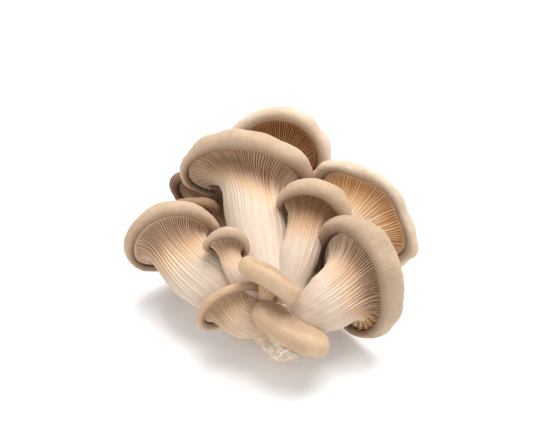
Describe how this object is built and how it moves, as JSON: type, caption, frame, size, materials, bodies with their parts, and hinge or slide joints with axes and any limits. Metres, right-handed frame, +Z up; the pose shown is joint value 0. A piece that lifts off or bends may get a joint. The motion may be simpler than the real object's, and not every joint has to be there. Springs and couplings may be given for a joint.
{
  "type": "oyster mushroom cluster",
  "caption": "Cut cluster of oyster mushrooms lying on its back, with rolled cap margins, gills that run down the stems and a torn base.",
  "frame": {"origin": "the middle of the flat spot that the torn base rests on", "axes": "+Z up from the table, +Y from the base along the stems towards the caps at the back, +X to the right as seen from the front"},
  "size_m": [0.1516, 0.156, 0.0732],
  "materials": {
    "mushroom_skin": "soft matt skin and gills of a fresh mushroom",
    "torn_base": "rough, fibrous and matt"
  },
  "bodies": {
    "root": {"base": "torn_base", "front": "mushroom_skin", "small_upper_front": "mushroom_skin", "lower_left": "mushroom_skin", "small_left": "mushroom_skin", "right_front": "mushroom_skin", "right_middle": "mushroom_skin", "left": "mushroom_skin", "tall_middle": "mushroom_skin", "small_left_back": "mushroom_skin", "right_back": "mushroom_skin", "left_back": "mushroom_skin", "top_back": "mushroom_skin"}
  },
  "joints": []
}
